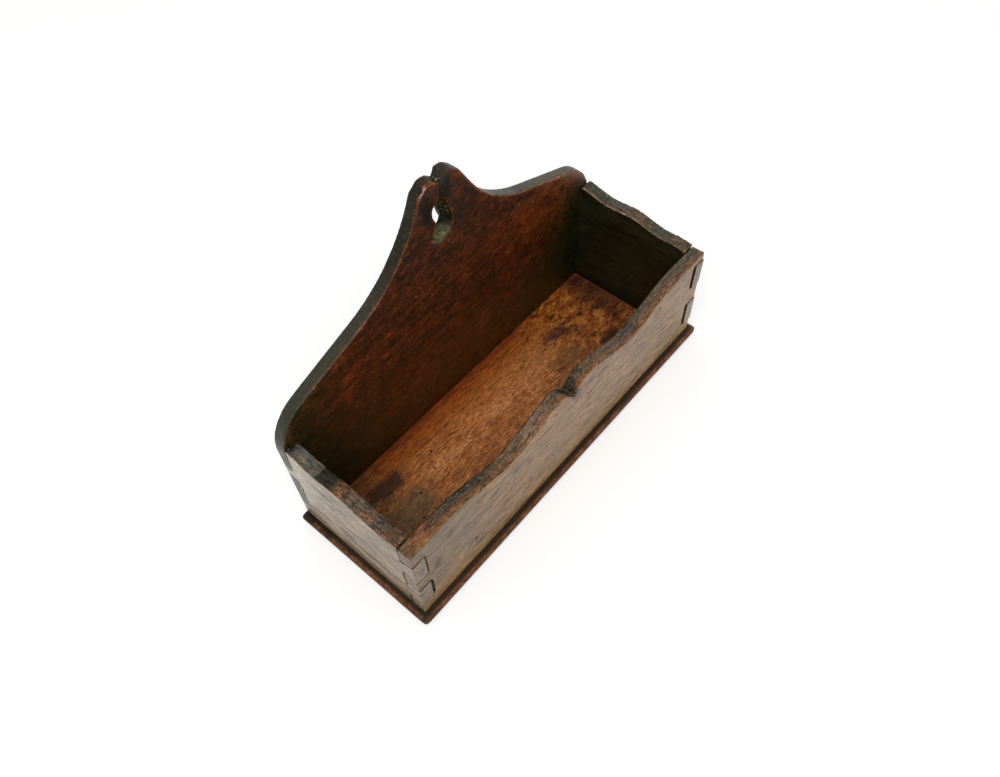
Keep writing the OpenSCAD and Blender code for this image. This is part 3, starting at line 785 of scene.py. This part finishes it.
# other cracks on that face: spots as y and z, width, depth, the way it opens and how far it wanders
faceCracks = [
    ([(-44.5, 61.4), (-40, 60), (-34, 58)], 2.4, 2, up, 1.2),  # around the front tails
    ([(-34.1, 45.5), (-33.7, 37), (-34.2, 27)], 1.5, 2, back, 0.9),
    ([(-34, 16.5), (-33.9, 4)], 1.5, 2, back, 0.9),
    ([(39.4, 80), (38.6, 70), (39.2, 61)], 1.4, 2, back, 0.9),  # along the rear pins
    ([(39.0, 48), (38.4, 40), (39.2, 30)], 1.2, 2, back, 0.9),
]
# cracks in the tails' end grain, on the front: spots as x and z, width and depth
tailCracks = [
    ([(-121, 27.5), (-116, 27), (-110, 26)], 0.8, 3),
    ([(-121, 61.0), (-110, 61.0)], 0.9, 2),
    ([(-121, 32.1), (-110, 32.1)], 0.9, 2),
]
# cracks in the top edge: spots as x and y, width, depth, the way it opens and how far it wanders
topCracks = [
    ([(-122, 19.6), (-110, 18.6)], 1.2, 0.9, back, 0.1),
    ([(-113.4, 4), (-112.8, 0), (-115.6, -1.6)], 0.7, 0.5, (0.7, 0.7, 0), 0.4),
    ([(-117.6, -8), (-115, -9.6), (-113, -8.4)], 0.7, 0.5, back, 0.4),
    ([(-116.6, -13), (-114.4, -15.6), (-115.6, -18)], 0.7, 0.5, right, 0.4),
    ([(-113.2, -20), (-112.6, -24), (-113.6, -28)], 0.9, 0.5, right, 0.4),
    ([(-114.6, -29), (-113.2, -31.4), (-111.8, -33)], 0.7, 0.5, right, 0.3),
]
# pits in the top edge: x, y and half width; each is longer along the grain
topPits = [
    (-118.2, 32, 0.6), (-116, 29, 0.4), (-115.2, 26.4, 0.5), (-112.9, 27.6, 0.4), (-117.4, 23, 0.4),
    (-118, -12, 0.5), (-117, -17, 0.5), (-117.8, -23, 0.5), (-116.2, -26, 0.6), (-117.4, -30, 0.4),
]
pitLonger, pitDeep = 1.3, 0.5

leftSide = fineBoard("left_side", "leftSide", leftSkin)
wearDown(leftSide, leftSkin)
leftSide.data.materials.append(agedWood("waxedHardwoodLeft", leftLook))
splitBlade = crackBlade([(leftFace, y, z) for y, z in longSplit], 2.1, 3, up, left, cuts=60)
faceBlades = [crackBlade([(leftFace, y, z) for y, z in run], wide, deep, opens, left, wander)
              for run, wide, deep, opens, wander in faceCracks]
tailBlades = [crackBlade([(x, frontFace, z) for x, z in run], wide, deep, up, front) for run, wide, deep in tailCracks]
topBlades = [crackBlade([sideTopAt(x, y) for x, y in run], wide, deep, opens, up, wander)
             for run, wide, deep, opens, wander in topCracks]
pits = pitBlade([(sideTopAt(x, y), (size, size * pitLonger, pitDeep)) for x, y, size in topPits], up)
cutMarks(leftSide, [splitBlade] + tailBlades + faceBlades + topBlades + [pits])
finishBoard(leftSide, "left_side")

rightSkin = dict(leftSkin, flake=0.15, handled=rightHandled, reshape=proudTails, nudge=rightRise)
# the same board at the right end: darkest of all inside, its top edge greasy black with the inner arris rubbed pale
rightLook = dict(leftLook, zones=sideOutside + [
    # the inside, greenish black
    {"where": [("facingX", -0.3, -0.7)], "most": 0.97, "rough": 0.36, "gloss": 0.3,
     "ramp": [(0.35, "#070e02"), (0.52, "#0d1604"), (0.66, "#261c06")]},
    # the top edge, from the back to the front, with scuffs and black streaks
    {"where": sideTop, "by": "mottle", "gloss": 0.5, "shade": ("y", 40, -36, 40),
     "ramp": [(0.0, "#1c2018"), (0.2, "#242216"), (0.33, "#2a2e28"), (0.43, "#36281a"), (0.54, "#563a28"),
              (0.64, "#33301f"), (0.75, "#2a2e26"), (0.86, "#4a3620"), (1.0, "#362a18")]},
    {"where": sideTop + [("specks", 0.53, 0.6)], "most": 0.6, "shade": "mottle",
     "ramp": [(0.4, "#3e3e30"), (0.6, "#7a6a50")]},
    {"where": sideTop + [("streaks", 0.52, 0.58)], "most": 0.7, "gloss": 0.25,
     "ramp": [(0.4, "#060805"), (0.6, "#12130c")]},
    # its inner arris rubbed pale
    {"where": [("bare", 0.2, 0.5, 0.4), ("z", 66, 68), ("facingX", 0.1, -0.2)], "by": "mottle", "most": 0.9,
     "shade": "mottle", "ramp": [(0.38, "#4c3020"), (0.5, "#8a6248"), (0.62, "#c09a7c")]},
    # end grain of the tails
    {"where": [("acrossY", 0.5, 0.8), ("z", 66, 64)], "most": 0.7, "shade": "specks",
     "ramp": [(0.35, "#4a4234"), (0.65, "#80705a")]},
])

rightSide = fineBoard("right_side", "rightSide", rightSkin)
wearDown(rightSide, rightSkin)
rightSide.data.materials.append(agedWood("waxedHardwoodRight", rightLook))
finishBoard(rightSide, "right_side")

# the base is worn evenly, and its nose was left a shade fuller than its round, in mm
baseForm = {"worn": 0.25, "fuller": 0.8, "endsFrom": (120.5, 122.5), "frontFrom": (-43.6, -45.6)}


def baseHandled(p):
    return np.full(len(p), baseForm["worn"])


def fullNose(p):
    shift = np.zeros_like(p)
    shift[:, 0] = baseForm["fuller"] * np.sign(p[:, 0]) * ease(*baseForm["endsFrom"], np.abs(p[:, 0]))
    shift[:, 1] = -baseForm["fuller"] * ease(*baseForm["frontFrom"], p[:, 1])
    return shift


baseSkin = {
    "step": 0.55, "turns": 8, "handled": baseHandled, "patch": (16, 16, 4), "hollow": 0.08, "hollowSize": (50, 22, 10),
    "thick": 2, "edgeFrom": (400, 401), "flakeSize": (5, 5, 3), "flake": 0.0,  # it has no top edge to flake
    "bareAt": 0.4, "triangles": 160000, "nudge": fullNose,
}
noseRamp = [(0.38, "#240f06"), (0.48, "#502a16"), (0.56, "#744428"), (0.66, "#946848")]
# grime, also used as painted shade where the nose meets the boards
grimeAndShadeRamp = [(0.4, "#0a0803"), (0.6, "#1c140a")]
# dry hardwood floor: bare of wax, orange tan with spilt stains and worm holes; its nose outside is brown and grimed,
# with painted shade where it meets the boards
baseLook = {
    "along": 0,
    "grain": dict(hardwoodGrain, patches=(12, 6, 10, 0.76), fibres=(4.5, 0.9, 5, 0.78), pores=(5, 1.1, 2, 0.6),
                  specks=(1.6, 1.1, 4, 0.78)),
    "mix": {"bands": 0.4, "fibres": 1.1, "patches": 0.8, "specks": 0.9}, "grit": {"fibres": 0.7, "specks": 0.7},
    "ramp": [(0.16, "#4c2710"), (0.4, "#a05c30"), (0.6, "#c67c45"), (0.84, "#e0a671")],
    "rough": (0.45, 0.62), "gloss": 0.3, "relief": 0.8,
    "zones": [
        # oranger, then redder and darker towards the back
        {"where": [("y", 6, 24, 18)], "most": 0.6, "shade": "fibres",
         "ramp": [(0.3, "#70340c"), (0.5, "#ac6426"), (0.7, "#d48c44")]},
        {"where": [("y", 21, 31, 10)], "most": 0.7, "gloss": 0.12, "shade": "streaks",
         "ramp": [(0.35, "#581f06"), (0.65, "#b45814")]},
        {"where": [("y", 32, 38, 8)], "most": 0.7, "shade": "streaks",
         "ramp": [(0.35, "#3a1206"), (0.65, "#862f0e")]},
        # the right part, mottled, with plum stains along its end
        {"where": [("x", 40, 80, 50)], "by": "mottle", "most": 0.85, "shade": "mottle",
         "ramp": [(0.39, "#1c0808"), (0.46, "#642a10"), (0.53, "#b0621f"), (0.61, "#dc9a4a")]},
        {"where": [("x", 90, 104, 16), ("y", -16, 12, 20)], "by": "mottle", "most": 0.8, "shade": "mottle",
         "ramp": [(0.4, "#1a0c12"), (0.6, "#582a1c")]},
        {"where": [("x", 34, 56, 40), ("patches", 0.53, 0.6), ("y", -32, -26)], "most": 0.8,
         "ramp": [(0.5, "#2c1412"), (0.66, "#1a0c0e")]},
        # the left end, browned
        {"where": [("x", -62, -90, 40)], "by": "mottle", "most": 0.5, "shade": "mottle",
         "ramp": [(0.38, "#33241a"), (0.5, "#6e4c28"), (0.64, "#a47844")]},
        # a paler strip along the front
        {"where": [("y", -8, -28, 16), ("x", -76, -44, 40), ("x", 64, 20, 40)], "most": 0.45, "shade": "fibres",
         "ramp": [(0.3, "#82492d"), (0.7, "#c68e64")]},
        # dark pores and lines
        {"where": [("pores", 0.59, 0.64)], "most": 0.6, "ramp": [(0.4, "#3a1c0a"), (0.6, "#54290f")]},
        {"where": [("lines", 0.63, 0.68)], "most": 0.55, "ramp": [(0.4, "#361b0c"), (0.6, "#522a14")]},
        # stains at the left end: plum, then grey olive
        {"oval": ((-86, 23, 5), (22, 8, 20), 2.8), "by": "mottle", "most": 0.85, "shade": "mottle",
         "ramp": [(0.4, "#160b0e"), (0.6, "#402628")]},
        {"oval": ((-82, 2, 5), (22, 12, 20), 3.2), "by": "mottle", "most": 0.55, "shade": "mottle",
         "ramp": [(0.4, "#38362a"), (0.6, "#867a58")]},
        {"oval": ((-100, -16, 5), (20, 16, 20), 3.0), "by": "mottle", "most": 0.7, "shade": "mottle",
         "ramp": [(0.4, "#2a2c22"), (0.6, "#7a7050")]},
        # stains in the right part: plum, then olive grease
        {"oval": ((63, 17, 5), (13, 6, 20), 3.4), "by": "mottle", "most": 0.8, "shade": "mottle",
         "ramp": [(0.4, "#1a0c12"), (0.6, "#48282a")]},
        {"oval": ((84, -9, 5), (9, 6, 20), 3.4), "by": "mottle", "most": 0.6, "shade": "mottle",
         "ramp": [(0.4, "#160a08"), (0.6, "#48241a")]},
        {"oval": ((55, 0, 5), (20, 8, 20), 3.4), "by": "mottle", "most": 0.5, "shade": "mottle",
         "ramp": [(0.4, "#2a2416"), (0.6, "#6c5c38")]},
        {"oval": ((30, -16, 5), (18, 10, 20), 3.4), "by": "mottle", "most": 0.6, "shade": "mottle",
         "ramp": [(0.4, "#2a2014"), (0.6, "#6a5234")]},
        # dust along the ends
        {"where": [("outX", 111.0, 111.7), ("outX", 116, 115), ("y", 41, 39)], "most": 0.4,
         "ramp": [(0.3, "#5c4638"), (0.7, "#80664e")]},
        # the underside, bare
        {"where": [("facingZ", -0.3, -0.7)], "most": 0.85, "shade": "fibres",
         "ramp": [(0.35, "#4a3624"), (0.65, "#866848")]},
        # the nose, brown, with grime and painted shade where it meets the boards
        {"where": [("outX", 118.4, 119.2)], "by": "mottle", "shade": "mottle", "ramp": noseRamp},
        {"where": [("y", -41.8, -42.6)], "by": "mottle", "shade": "mottle", "ramp": noseRamp},
        {"where": [("outX", 118.4, 119.2), ("outX", 122.8, 121.8, 1.6), ("y", -46, -43), ("z", 1, 2.5)],
         "by": "mottle", "most": 0.9, "ramp": grimeAndShadeRamp},
        {"where": [("y", -41.8, -42.6), ("y", -46.2, -45.2, 1.6), ("outX", 122.6, 119.8), ("z", 1, 2.5)],
         "by": "mottle", "most": 0.9, "ramp": grimeAndShadeRamp},
        # grimy spots on the nose's left end
        {"oval": ((-122, 27, 3), (5, 5, 8), 1.4), "by": "mottle", "most": 0.85, "ramp": grimeAndShadeRamp},
        {"oval": ((-122, 44, 3), (6, 9, 8), 1.4), "by": "mottle", "most": 0.9, "ramp": grimeAndShadeRamp},
        {"oval": ((-120, -44, 3), (7, 5, 8), 1.8), "by": "mottle", "most": 0.8, "ramp": grimeAndShadeRamp},
    ],
}

# worm holes in the floor: places and radii in mm
wormHoles = [((-48.8, 19.9, 5), 0.8), ((-55.5, 10.5, 5), 0.7), ((-72, 5.7, 5), 0.8), ((-82, -6, 5), 0.7)]
wormDepth = 1.5
baseBoard = fineBoard("base_board", "baseBoard", baseSkin)
wearDown(baseBoard, baseSkin)
baseBoard.data.materials.append(agedWood("dryHardwoodBase", baseLook))
cutMarks(baseBoard, [boreBlade(wormHoles, wormDepth)])
finishBoard(baseBoard, "base_board")

# wrought nails: dull grey iron, browned by rust in spots of about a millimetre
nailLook = {
    "rustSize": 0.9, "ramp": [(0.35, "#2a2522"), (0.6, "#4a2f20"), (0.75, "#6a4028")],
    "metallic": 0.7, "rough": 0.6, "relief": 0.5, "pitDepth": 0.1,
}
nailIron, tree = newMaterial("rustedIronNails")
place = addNode(tree, "TexCoord").outputs["Object"]
rustScale = 1 / (nailLook["rustSize"] * mm)
rust = addNode(tree, "TexNoise", {"Vector": place, "Scale": rustScale, "Detail": 4.0}).outputs["Fac"]
colour = addNode(tree, "ValToRGB", {"Fac": rust}, ramp=nailLook["ramp"]).outputs[0]
bump = addNode(tree, "Bump", {"Strength": nailLook["relief"], "Distance": nailLook["pitDepth"] * mm, "Height": rust})
iron = addNode(tree, "BsdfPrincipled", {
    "Base Color": colour, "Metallic": nailLook["metallic"], "Roughness": nailLook["rough"], "Normal": bump.outputs[0]})
addNode(tree, "OutputMaterial", {"Surface": iron.outputs[0]})
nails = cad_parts["base_nails"]
nails.data.materials.clear()
nails.data.materials.append(nailIron)
print("nails done")
